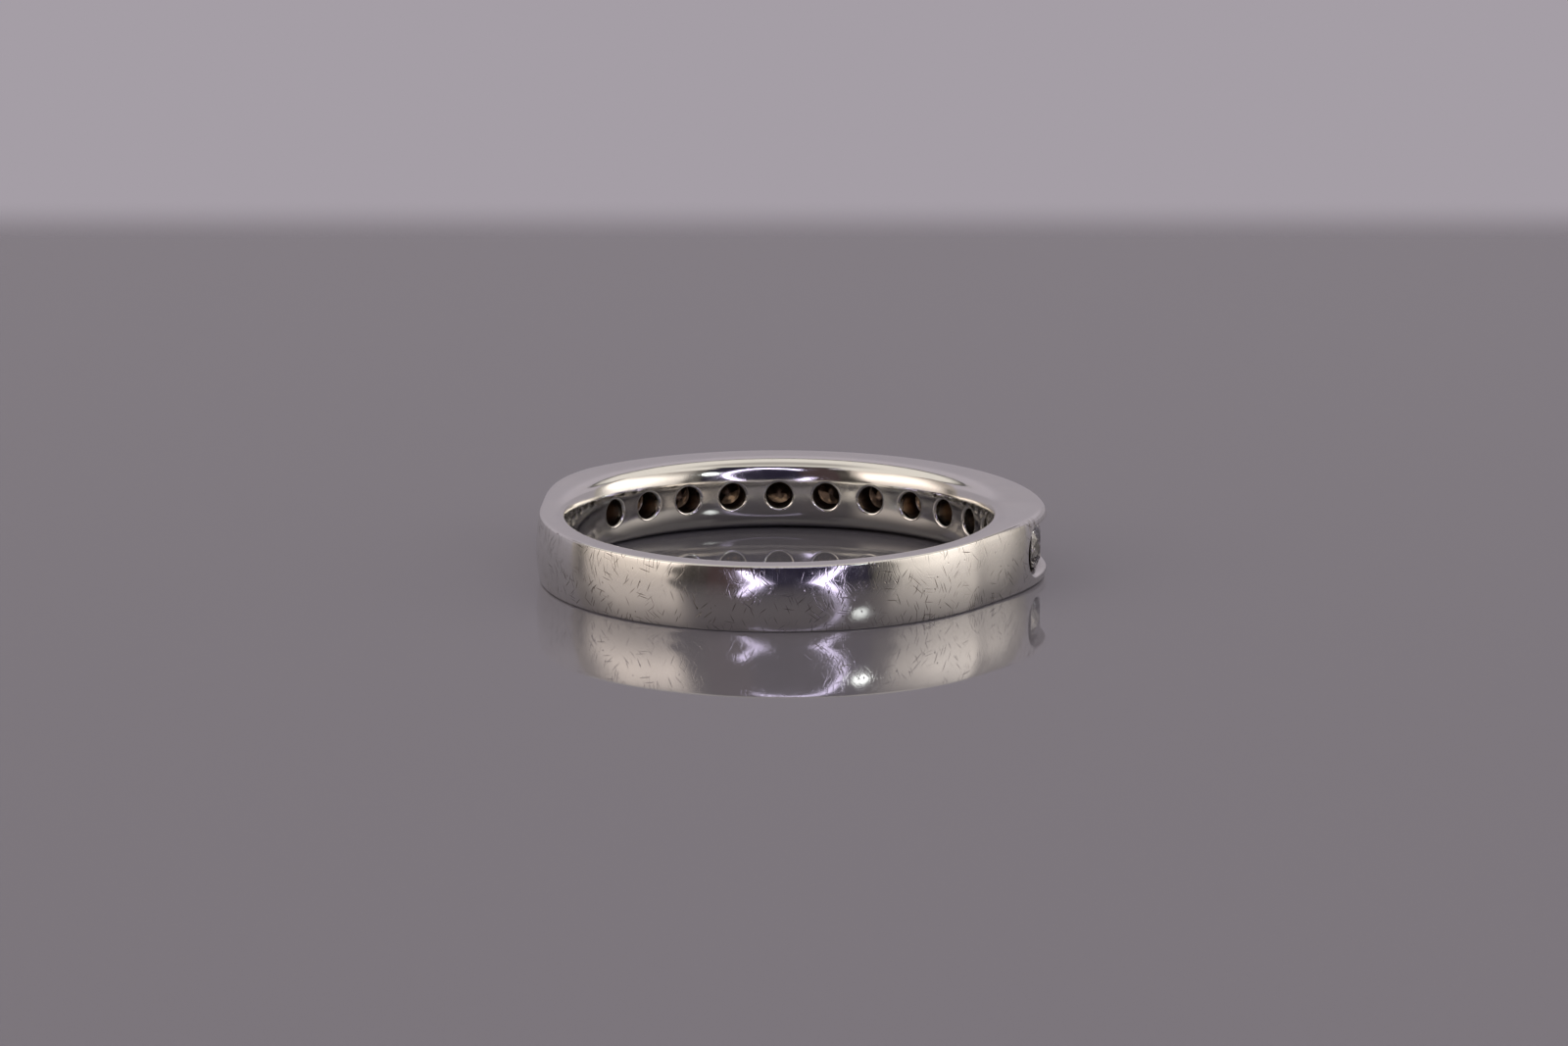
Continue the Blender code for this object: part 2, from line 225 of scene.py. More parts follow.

# Stones: clear, and behind the girdle a near black film, painted shade with grease, with amber places
# that are painted glints
CLEAR_COLOUR = (1.0, 0.985, 0.96, 1)
FILM_SHADE_AND_GREASE_COLOUR = (0.010, 0.005, 0.003, 1)
AMBER_GLINT_COLOUR = (0.11, 0.055, 0.026, 1)
GIRDLE_ROUGHNESS = 0.35
DIAMOND_IOR = 2.417

# Wall and floor. The wall brightens upwards, to WALL_RISE times, between two sines of the elevation.
# Inside the ring, where the band shades it, the floor keeps FLOOR_SHADE of its colour.
WALL_COLOUR = (0.376, 0.342, 0.381, 1)
WALL_STEP = (0.225, 0.36)
WALL_RISE = 1.3
FLOOR_COLOUR = (0.205, 0.198, 0.222, 1)
FLOOR_ROUGHNESS = 0.02
FLOOR_SHADE = 0.67
FLOOR_SHADE_BLUR = 1 * MM
FLOOR_DROP = 0.002 * MM
FLOOR_FADE_START = 0.071
FLOOR_FADE_END = 0.082
FLOOR_REACH = 0.2

# Studio: glowing sheets on a dome round the ring, placed in degrees to the right of the camera and up
STUDIO_RADIUS = 0.6
CEILING_RADIUS = 0.63
LAMP_DISTANCE = 0.55
SHEET_STEPS = 24
# Sheets: name, colour, azimuths, elevations and distance
SHEETS = (
    ("left_box", (1.15, 1.0, 0.91, 1), (-114, -34), (-2, 42), STUDIO_RADIUS),
    ("right_box", (1.10, 1.0, 0.93, 1), (43, 120), (-2, 42), STUDIO_RADIUS),
    ("left_of_camera", (0.066, 0.044, 0.046, 1), (-34, -12), (-2, 52), STUDIO_RADIUS),
    ("right_of_camera", (0.022, 0.019, 0.036, 1), (-12, 43), (-2, 52), STUDIO_RADIUS),
    ("ceiling", (1.07, 1.0, 0.94, 1), (43, 318), (33, 89), CEILING_RADIUS),
    ("front_ceiling", (1.07, 1.0, 0.94, 1), (-46, 52), (52, 89), STUDIO_RADIUS),
)

# Round lights: middle, radii and width in degrees, arc as start, end and count, and brightness at
# shares of the width out from the radii
RING_LIGHT = {
    "colour": (1.12, 1.0, 1.45, 1),
    "middle": (5, 19),
    "radii": (25, 22.5),
    "width": (2.3, 2.3),
    "arc": (-156, 136, 90),
    "profile": ((-1.0, 0.52), (-0.6, 2.6), (0.6, 2.6), (1.0, 0.52)),
}
LAMP = {
    "colour": (0.97, 1.02, 1.03, 1),
    "middle": (40, 24.5),
    "radii": (0, 0),
    "width": (4.6, 4.4),
    "arc": (0, 360, 33),
    "profile": ((0.02, 7.5), (0.6, 6.5), (1.0, 2.0)),
}

# Brightness of the sheets. A step is written as its start and end and a hill as its middle and spread,
# in degrees. RISE, FALL and REGAIN are what they add or take, and BLUR is half an edge's width.
WALL_SHINE = 0.36
LEFT_SHINE = 0.6
LEFT_HILL_RISE = 1.15
LEFT_HILL = (22, 13)
LEFT_DARK_SHINE = 0.045
LEFT_SOFT_STEP = (9, 24)
LEFT_FAR_EDGE = (-109, -93)
LEFT_FAR_SOFTER = 15
LEFT_STRIP = 0.65
LEFT_STRIP_HILL = (-107, 4.5)
LEFT_STRIP_STEP = (17, 11)
LEFT_NEAR_EDGE = -46.5
LEFT_NEAR_BEND = 6
LEFT_NEAR_HILL = (4, 4)
LEFT_NEAR_BLUR = 2.5
LEFT_NEAR_SOFTER = 4
RIGHT_SHINE = 0.95
RIGHT_STEP_RISE = 0.75
RIGHT_STEP = (56, 86)
RIGHT_FOOT = 0.65
RIGHT_HILL_RISE = 0.45
RIGHT_HILL = (20, 12)
RIGHT_TOP_FALL = 0.45
RIGHT_TOP_STEP = (18, 36)
RIGHT_TOP_REGAIN = 0.2
RIGHT_REGAIN_STEP = (92, 104)
RIGHT_FAR_EDGE = (118, 99)
RIGHT_FAR_CRISPER = (3.5, 8)
RIGHT_CRISP_STEP = (8, 18)
RIGHT_DIM_SHINE = 0.13
RIGHT_DIM_STEP = (43, 46)
RIGHT_NEAR_EDGE = 54
RIGHT_NEAR_BEND = 3
RIGHT_NEAR_HILL = (5, 4)
RIGHT_NEAR_BLUR = 3
CEILING_SHINE = 0.82
CEILING_STEP = (33, 40)
FRONT_CEILING_SHINE = 0.92
FRONT_CEILING_STEP = (52, 64)
CEILING_FALL = 0.5
CEILING_FALL_STEP = (58, 78)

# Camera: a long lens, in metres. The view is as wide as VIEW_WIDTH at the bore's centre.
CAMERA_AZIMUTH = 199.6
CAMERA_ELEVATION = 12.8
CAMERA_DISTANCE = 350 * MM
VIEW_WIDTH = 63.4 * MM
AIM_RIGHT = 0.20 * MM
AIM_ABOVE = 2.18 * MM
SENSOR_WIDTH = 36
CLIP_START = 0.01
CLIP_END = 10


def step_up(value, start, end):
    """Rises smoothly from 0 at start to 1 at end, in either direction, and holds there."""
    share = np.clip((value - start) / (end - start), 0, 1)
    return share * share * (3 - 2 * share)


def hill(value, middle, spread):
    return math.exp(-(((value - middle) / spread) ** 2))


def width_at(angle):
    row_end = -math.cos(RAMP_START_ANGLE)
    share = (-np.cos(angle) - row_end) / (1 - row_end)
    return SETTING_WIDTH + (SHANK_WIDTH - SETTING_WIDTH) * np.maximum(share, 0)


def along_ramp(angle, setting_size, shank_size):
    """A size of the band at one angle: the setting's, easing over the ramp to the shank's."""
    from_row = np.abs((angle + np.pi) % (2 * np.pi) - np.pi)
    share = (from_row - RAMP_START_ANGLE) / (RAMP_END_ANGLE - RAMP_START_ANGLE)
    eased = (1 - np.cos(np.pi * np.clip(share, 0, 1))) / 2
    return setting_size + (shank_size - setting_size) * eased


def crest_at(angle):
    return BORE_RADIUS + along_ramp(angle, SETTING_THICKNESS, SHANK_THICKNESS)


def outer_edge_at(angle):
    return along_ramp(angle, SETTING_EDGE_RADIUS, SHANK_EDGE_RADIUS)


def inner_edge_at(angle):
    """Radius of the inner edges' rounding, which eases over the whole ring and not at the ramp."""
    share = (1 + np.cos(angle)) / 2
    return SHANK_INNER_EDGE_RADIUS + (INNER_EDGE_RADIUS - SHANK_INNER_EDGE_RADIUS) * share


def unit_rounding(start, slackening):
    """A rounding of radius 1 from a face's slope to the side face: how far it goes out and across.

    Its radius grows by slackening towards the side face.
    """
    share = np.linspace(0, 1, FILLET_STEPS * FILLET_FINENESS + 1)
    start = np.asarray(start)[..., None]
    turn = start + (np.pi / 2 - start) * share
    step = (1 + slackening * share**SLACKENING_POWER) * (np.pi / 2 - start) / (len(share) - 1)

    def summed(slope):
        steps = (slope[..., 1:] + slope[..., :-1]) / 2
        total = np.concatenate([np.zeros(start.shape), np.cumsum(steps, axis=-1)], axis=-1)
        return total[..., ::FILLET_FINENESS]

    return summed(step * np.sin(turn)), summed(step * np.cos(turn))


def face_reach(angle, edge_radius, steepness, slackening=0):
    """Where an arched face meets its edge rounding: its distance from mid width and its slope."""
    half = width_at(angle) / 2
    reach = half
    for _ in range(REACH_PASSES):
        slope = np.arctan(steepness / reach)
        reach = half - edge_radius * unit_rounding(slope, slackening)[1][..., -1]
    return reach, slope


def outer_reach(angle):
    return face_reach(angle, outer_edge_at(angle), 2 * DOME_RISE)


def bore_reach(angle):
    steepness = 2 * COMFORT_RISE + EASED_EDGE_POWER * EASED_EDGE
    return face_reach(angle, inner_edge_at(angle), steepness, INNER_SLACKENING)


def outer_radius(angle, z):
    share = (z - width_at(angle) / 2) / outer_reach(angle)[0]
    return crest_at(angle) - DOME_RISE * share**2


def bore_radius(angle, z):
    share = (z - width_at(angle) / 2) / bore_reach(angle)[0]
    return BORE_RADIUS + COMFORT_RISE * share**2 + EASED_EDGE * share**EASED_EDGE_POWER


def at(angle, radius, z):
    """Points in the CAD frame from arrays of angles, radii from the bore's axis and heights."""
    angle, radius, z = np.broadcast_arrays(angle, radius, z)
    return np.stack([radius * np.sin(angle), BORE_CENTRE_Y - radius * np.cos(angle), z], axis=-1)


def edge_arc(angle, side, edge_radius, face, surface, outward, slackening):
    """Radii and heights of the rounding between an arched face and a side face, from the first on."""
    reach, start = face(angle)
    height = width_at(angle) / 2 + side * reach
    out, across = unit_rounding(start, slackening)
    radii = surface(angle, height)[:, None] - outward * edge_radius[:, None] * out
    return radii, height[:, None] + side * edge_radius[:, None] * across


def grid_faces(rows, columns, loop=False):
    """The four-sided faces between a grid's points, closed round its rows for a loop."""
    index = np.arange(rows * columns).reshape(rows, columns)
    if loop:
        index = np.vstack([index, index[:1]])
    quads = [index[:-1, :-1], index[:-1, 1:], index[1:, 1:], index[1:, :-1]]
    return np.stack(quads, axis=-1).reshape(-1, 4)


def put_in_scene(name, data):
    made = bpy.data.objects.new(name, data)
    bpy.context.scene.collection.objects.link(made)
    return made


def new_mesh(name, points, faces):
    mesh = bpy.data.meshes.new(name)
    mesh.from_pydata(points.tolist(), [], faces.tolist())
    return mesh


def hold_values(mesh, name, domain, values):
    attribute = mesh.attributes.new(name, "FLOAT", domain)
    attribute.data.foreach_set("value", np.asarray(values, dtype=np.float32))


class Patches:
    """Collects grids of points as four-sided faces and joins them into one mesh."""

    def __init__(self):
        self.points = []
        self.faces = []
        self.shelter = []
        self.wear = []
        self.count = 0

    def grid(self, points, loop=False, shelter=0.0, wear=SPARED):
        """Adds one grid, with two values for all of it, for each column or for each point.

        shelter says how far a place is out of a polisher's reach, for grime and painted shade, and wear
        how many knocks it takes.
        """
        rows, columns = points.shape[:2]
        self.shelter.append(np.broadcast_to(shelter, (rows, columns)).ravel())
        self.wear.append(np.broadcast_to(wear, (rows, columns)).ravel())
        self.faces.append(self.count + grid_faces(rows, columns, loop))
        self.points.append(points.reshape(-1, 3))
        self.count += rows * columns

    def mesh(self, name):
        mesh = new_mesh(name, np.concatenate(self.points), np.concatenate(self.faces))
        hold_values(mesh, "shelter", "POINT", np.concatenate(self.shelter))
        hold_values(mesh, "wear", "POINT", np.concatenate(self.wear))
        bm = bmesh.new()
        bm.from_mesh(mesh)
        bmesh.ops.remove_doubles(bm, verts=bm.verts, dist=MERGE_DISTANCE)
        bmesh.ops.recalc_face_normals(bm, faces=bm.faces)
        bm.to_mesh(mesh)
        bm.free()
        return mesh


def columns_round_the_ring():
    """Angles of the columns over the row, round its +X end, and over the shank.

    The end's columns run HALF steps to the outermost stone's edge, one to where the channel's wall
    starts to bend, and HALF more to where the plain shank starts.
    """
    row = np.linspace(-LAST_STONE_ANGLE, LAST_STONE_ANGLE, (STONE_COUNT - 1) * STEPS + 1)
    stone_end = np.linspace(LAST_STONE_ANGLE, LAST_STONE_ANGLE + STONE_PITCH / 2, HALF + 1)
    bend = np.linspace(RUN_OUT_ANGLE, PATCH_END_ANGLE, HALF + 1)
    shank = np.linspace(PATCH_END_ANGLE, 2 * np.pi - PATCH_END_ANGLE, SHANK_STEPS + 1)
    return row, np.concatenate([stone_end, bend]), shank


def add_edges(patches):
    """The side faces with their rounded edges, upper and lower, all round the ring."""
    row, end, shank = columns_round_the_ring()
    angle = np.concatenate([row[:-1], end[:-1], shank[:-1], -end[::-1][:-1]])
    for side in (1, -1):
        inner = inner_edge_at(angle), bore_reach, bore_radius, -1, INNER_SLACKENING
        outer = outer_edge_at(angle), outer_reach, outer_radius, 1, 0
        inner_radii, inner_heights = edge_arc(angle, side, *inner)
        outer_radii, outer_heights = edge_arc(angle, side, *outer)
        share = np.linspace(0, 1, SIDE_STEPS + 1)[1:-1]
        face_radii = graded(inner_radii[:, -1], outer_radii[:, -1], share)
        face_heights = np.broadcast_to(inner_heights[:, -1:], face_radii.shape)
        radii = np.hstack([inner_radii, face_radii, outer_radii[:, ::-1]])
        heights = np.hstack([inner_heights, face_heights, outer_heights[:, ::-1]])
        wear = np.full(radii.shape[1], SPARED)
        wear[-FILLET_STEPS - 1 :] = np.linspace(SPARED, 1, FILLET_STEPS + 1)
        patches.grid(at(angle[:, None], radii, heights), loop=True, wear=wear)


def heights_across(angle, face):
    """Heights of STEPS + 1 points across an arched face, from its lower edge to its upper one."""
    return width_at(angle) / 2 + face(angle)[0] * np.linspace(-1, 1, STEPS + 1)


def face_edges(angle, face):
    """Heights of an arched face's lower and upper edges."""
    half, reach = width_at(angle) / 2, face(angle)[0]
    return half - reach, half + reach


def add_shank(patches):
    """The shank's outer face, and the bore from one outermost stone's edge round to the other's."""
    _, end, shank = columns_round_the_ring()
    past_stone = end[HALF:]
    bore_angles = np.concatenate([past_stone[:-1], shank, 2 * np.pi - past_stone[::-1][1:]])
    for face, surface, angles, wear in (
        (bore_reach, bore_radius, bore_angles, SPARED),
        (outer_reach, outer_radius, shank, 1.0),
    ):
        heights = np.stack([heights_across(angle, face) for angle in angles])
        angle = angles[:, None]
        patches.grid(at(angle, surface(angle, heights), heights), wear=wear)


def stone_columns(index):
    """Angle of a stone, and the angles of its patch's columns."""
    middle = (index - (STONE_COUNT - 1) / 2) * STONE_PITCH
    return middle, middle + np.linspace(-STONE_PITCH / 2, STONE_PITCH / 2, STEPS + 1)


def round_hole(distance, turns):
    """How far across and how high the points of one or more rings round a stone's axis are."""
    return distance * np.cos(turns), SETTING_MID_HEIGHT + distance * np.sin(turns)


def graded(first, last, share):
    """Rows of values, each from one of the first ones to its last one, at the given shares."""
    return first[:, None] + (last - first)[:, None] * share


def rectangle_edge(angles, lower, upper, at_left, at_right):
    """Angle and height of each point round a patch's edge, from the lower left corner on."""
    edge_angle = np.concatenate(
        [angles[:-1], np.full(STEPS, angles[-1]), angles[::-1][:-1], np.full(STEPS, angles[0])]
    )
    edge_height = np.concatenate([lower[:-1], at_right[:-1], upper[::-1][:-1], at_left[::-1][:-1]])
    return edge_angle, edge_height


def hole_depth(middle, x, z):
    """Distance from the ring's axis, along a hole's own axis, of the bore beside that axis."""
    radius = bore_radius(middle + np.arcsin(x / BORE_RADIUS), z)
    return np.sqrt(radius**2 - x**2)


def hole_point(middle, x, depth, z):
    """A point from its place across, along and up a hole's axis."""
    sine, cosine = math.sin(middle), math.cos(middle)
    points = [depth * sine + x * cosine, BORE_CENTRE_Y - depth * cosine + x * sine, z]
    return np.stack(np.broadcast_arrays(*points), axis=-1)


def add_bore_patch(patches, index):
    """The bore round one hole, the hole's rounded rim, and its bare length up to the stone's seat."""
    middle, angles = stone_columns(index)
    lower, upper = face_edges(angles, bore_reach)
    left, right = heights_across(angles[0], bore_reach), heights_across(angles[-1], bore_reach)
    edge_angle, edge_height = rectangle_edge(angles, lower, upper, left, right)
    rim_x, rim_z = round_hole(HOLE_RADIUS + HOLE_RIM_RADIUS, RING_TURNS)
    rim_depth = hole_depth(middle, rim_x, rim_z)
    rim_angle = middle + np.arctan2(rim_x, rim_depth)
    share = np.linspace(0, 1, BORE_STEPS + 1) ** BORE_SPREAD
    angle, height = graded(rim_angle, edge_angle, share), graded(rim_z, edge_height, share)
    points = at(angle, bore_radius(angle, height), height)
    points[:, 0] = hole_point(middle, rim_x, rim_depth, rim_z)
    patches.grid(points, loop=True)

    bend = np.linspace(0, np.pi / 2, FILLET_STEPS + 1)
    x, z = round_hole(HOLE_RADIUS + HOLE_RIM_RADIUS * (1 - np.sin(bend)), RING_TURNS[:, None])
    depth = hole_depth(middle, x, z) + HOLE_RIM_RADIUS * (1 - np.cos(bend))
    shelter = HOLE_SHELTER[0] * np.linspace(0, 1, FILLET_STEPS + 1) ** 2
    patches.grid(hole_point(middle, x, depth, z), loop=True, shelter=shelter)

    barrel = graded(depth[:, -1], SEAT_BOTTOM_RADIUS, np.linspace(0, 1, len(HOLE_SHELTER)))
    points = hole_point(middle, x[:, -1:], barrel, z[:, -1:])
    patches.grid(points, loop=True, shelter=HOLE_SHELTER)


def floor_radius(angle):
    """Radius of the channel's floor: even under the stones, then rising over each run-out."""
    high = crest_at(FLOOR_END_ANGLE) - END_LEDGE
    share = (np.abs(angle) - CHANNEL_END_ANGLE) / (FLOOR_END_ANGLE - CHANNEL_END_ANGLE)
    return FLOOR_RADIUS + (high - FLOOR_RADIUS) * np.clip(share, 0, 1)


def enclosed(angle):
    """How shut in the channel is at an angle: fully at the stones, and hardly at its open ends."""
    return 1 - OPEN_END * step_up(np.degrees(np.abs(angle)), *OPEN_END_STEP)


def add_channel_floor(patches, index):
    """The channel's floor round one stone and the cone of its seat, down to the hole."""
    middle, angles = stone_columns(index)
    low = SETTING_MID_HEIGHT - CHANNEL_HALF_WIDTH
    high = SETTING_MID_HEIGHT + CHANNEL_HALF_WIDTH
    cross = np.linspace(low, high, STEPS + 1)
    lower, upper = np.full(STEPS + 1, low), np.full(STEPS + 1, high)
    edge_angle, edge_height = rectangle_edge(angles, lower, upper, cross, cross)
    pit_x, pit_z = round_hole(PIT_RADIUS, RING_TURNS)
    pit_angle = middle + np.arcsin(pit_x / floor_radius(middle))
    share = np.linspace(0, 1, FLOOR_STEPS + 1)
    angle, height = graded(pit_angle, edge_angle, share), graded(pit_z, edge_height, share)
    patches.grid(at(angle, floor_radius(angle), height), loop=True, shelter=enclosed(angle))

    share = np.linspace(0, 1, PIT_STEPS + 1)
    depth = graded(np.sqrt(floor_radius(middle) ** 2 - pit_x**2), SEAT_BOTTOM_RADIUS, share)
    x, z = round_hole(PIT_RADIUS + (HOLE_RADIUS - PIT_RADIUS) * share, RING_TURNS[:, None])
    patches.grid(hole_point(middle, x, depth, z), loop=True, shelter=1.0)


def add_run_out_floor(patches, side):
    """The channel's floor past an outermost stone, in columns that spread to its rounded end."""
    _, end, _ = columns_round_the_ring()
    corner_turn = np.linspace(0, np.pi / 4, HALF + 1)
    bent = RUN_OUT_ANGLE + CHANNEL_HALF_WIDTH * np.sin(corner_turn) / GIRDLE_BASE_RADIUS
    edge_angle = np.concatenate([[end[HALF]], bent])[:, None]
    edge_height = CHANNEL_HALF_WIDTH * np.concatenate([[1], np.cos(corner_turn)])[:, None]
    height_share = np.linspace(-1, 1, STEPS + 1)[None, :]
    tip_turn = np.pi / 2 - height_share * np.pi / 4
    tip_angle = RUN_OUT_ANGLE + CHANNEL_HALF_WIDTH * np.sin(tip_turn) / GIRDLE_BASE_RADIUS
    tip_height = CHANNEL_HALF_WIDTH * np.cos(tip_turn)
    spread = np.linspace(0, 1, HALF + 2)[:, None]
    angle = edge_angle + spread * (tip_angle - edge_angle[-1])
    height = height_share * edge_height + spread * (tip_height - height_share * edge_height[-1])
    points = at(side * angle, floor_radius(angle), SETTING_MID_HEIGHT + height)
    patches.grid(points, shelter=enclosed(angle))


def channel_columns():
    """The columns round the channel: where each starts on the outer face, and its way in.

    A column has the angle and turn of its section across the channel, and the angle and height of
    its outermost point. They go along the upper wall, round the +X end and back along the lower one.
    """
    row, end, _ = columns_round_the_ring()
    straight = np.concatenate([-end[1 : HALF + 2][::-1], row, end[1 : HALF + 2]])
    low, high = face_edges(straight, outer_reach)
    bend = end[HALF + 1 :]
    bend_low, bend_high = face_edges(bend, outer_reach)
    cross = heights_across(PATCH_END_ANGLE, outer_reach)
    bend_angle = np.concatenate([bend[:-1], np.full(STEPS + 1, bend[-1]), bend[::-1][1:]])[:-1]
    going_down = np.concatenate([bend_high[:-1], cross[::-1], bend_low[:-1][::-1]])[:-1]
    going_up = np.concatenate([bend_low[:-1], cross, bend_high[:-1][::-1]])[:-1]
    turns = np.linspace(0, np.pi, 2 * STEPS + 1)[:-1]
    bent = np.full(2 * STEPS, RUN_OUT_ANGLE)
    one_way, zeros = straight[:-1], np.zeros(len(straight) - 1)
    other_way = straight[::-1][:-1]
    along = np.concatenate([one_way, bent, other_way, -bent])
    turn = np.concatenate([zeros, turns, zeros + np.pi, np.pi + turns])
    out_angle = np.concatenate([one_way, bend_angle, other_way, -bend_angle])
    out_height = np.concatenate([high[:-1], going_down, low[::-1][:-1], going_up])
    return along, turn, out_angle, out_height


def bend_between(first, corner, last):
    """Values along a rounded corner, worked out from its three control points' values."""
    share = np.linspace(0, 1, FILLET_STEPS + 1)
    return (1 - share) ** 2 * first + 2 * share * (1 - share) * corner + share**2 * last


def girdle_groove(along):
    """Half width of the groove that holds the girdles, which closes round each outermost stone."""
    past_stone = np.maximum(np.abs(along) - LAST_STONE_ANGLE, 0) * GIRDLE_BASE_RADIUS
    groove = STONE_RADIUS + SEAT_CLEARANCE
    rounded = np.sqrt(np.maximum(groove**2 - past_stone**2, 0))
    return np.maximum(rounded, CHANNEL_HALF_WIDTH + WALL_FOOT + LEAST_GROOVE)


def wall_levels(along, lip_foot, floor):
    """Half widths and radii down a channel wall, from its foot at the crowns to the floor."""
    crown_offset = STONE_RADIUS + SEAT_CLEARANCE / math.sin(CROWN_ANGLE)
    foot = CHANNEL_HALF_WIDTH + WALL_FOOT
    groove = girdle_groove(along)
    flat = np.full_like(groove, CHANNEL_HALF_WIDTH)

    def over(half):
        return GIRDLE_TOP_RADIUS + (crown_offset - half) * math.tan(CROWN_ANGLE)

    def under(half):
        return GIRDLE_BASE_RADIUS - (SEAT_REACH - half) * math.tan(PAVILION_ANGLE)

    top = np.minimum(over(foot), floor + HIGHEST_FOOT * (lip_foot - floor))
    squeeze = (top - floor) / (over(foot) - FLOOR_RADIUS)
    halves = [np.full_like(groove, foot), groove, groove, flat, flat]
    radii = [over(foot), over(groove), under(groove), under(flat), FLOOR_RADIUS]
    return halves, [floor + (radius - FLOOR_RADIUS) * squeeze for radius in radii]


def add_channel_walls(patches):
    """The outer face beside the channel, the lips, the walls and the groove that holds the girdles."""
    along, turn, out_angle, out_height = channel_columns()
    sine, cosine = np.sin(turn)[:, None], np.cos(turn)[:, None]

    def place(half_width):
        angle = along[:, None] + half_width * sine / GIRDLE_BASE_RADIUS
        return angle, SETTING_MID_HEIGHT + half_width * cosine

    lip = BORE_RADIUS + SETTING_THICKNESS - DOME_RISE
    slope = WALL_SLOPE / (lip - GIRDLE_TOP_RADIUS)
    corner = CHANNEL_HALF_WIDTH + WALL_SLOPE
    lip_angle, lip_height = place(corner + LIP_RADIUS)
    share = np.linspace(0, 1, FACE_STEPS + 1) ** FACE_SPREAD
    angle = graded(out_angle, lip_angle[:, 0], share)
    height = graded(out_height, lip_height[:, 0], share)
    patches.grid(at(angle, outer_radius(angle, height), height), loop=True, wear=1.0)

    halves = bend_between(corner + LIP_RADIUS, corner, corner - LIP_RADIUS * slope)
    angle, height = place(halves[None, :])
    lip_radius = outer_radius(angle, height) - bend_between(0, 0, LIP_RADIUS)
    wear = np.linspace(1, SPARED, FILLET_STEPS + 1)
    patches.grid(at(angle, lip_radius, height), loop=True, wear=wear)

    floor_angle, _ = place(CHANNEL_HALF_WIDTH)
    shut_in = enclosed(floor_angle)
    floor = floor_radius(floor_angle)[:, 0]
    level_halves, level_radii = wall_levels(along, lip_radius[:, -1], floor)
    steps = np.linspace(0, 1, len(WALL_SHELTER))
    wall_halves = halves[-1] + (level_halves[0][:, None] - halves[-1]) * steps
    wall_radii = graded(lip_radius[:, -1], level_radii[0], steps)
    angle, height = place(wall_halves)
    patches.grid(at(angle, wall_radii, height), loop=True, shelter=shut_in * np.array(WALL_SHELTER))
    levels = list(zip(level_halves, level_radii))
    for (half_a, radius_a), (half_b, radius_b) in zip(levels, levels[1:]):
        angle, height = place(np.linspace(half_a, half_b, LEVEL_STEPS + 1, axis=1))
        radii = np.linspace(radius_a, radius_b, LEVEL_STEPS + 1, axis=1)
        patches.grid(at(angle, radii, height), loop=True, shelter=shut_in)


def band_mesh():
    patches = Patches()
    add_edges(patches)
    add_shank(patches)
    add_channel_walls(patches)
    for index in range(STONE_COUNT):
        add_bore_patch(patches, index)
        add_channel_floor(patches, index)
    for side in (1, -1):
        add_run_out_floor(patches, side)
    mesh = patches.mesh("band_mesh")
    mesh.shade_smooth()
    mesh.set_sharp_from_angle(angle=SHARP_ANGLE)
    return mesh


def cut_away(bm, point, normal):
    """Cuts a convex solid with a plane, drops the side that the normal points to, and caps it."""
    geometry = bm.verts[:] + bm.edges[:] + bm.faces[:]
    cut = bmesh.ops.bisect_plane(
        bm, geom=geometry, dist=CUT_DISTANCE, plane_co=point, plane_no=normal, clear_outer=True
    )
    edges = [piece for piece in cut["geom_cut"] if isinstance(piece, bmesh.types.BMEdge)]
    open_edges = [edge for edge in edges if edge.is_valid and edge.is_boundary]
    if open_edges:
        bmesh.ops.holes_fill(bm, edges=open_edges)


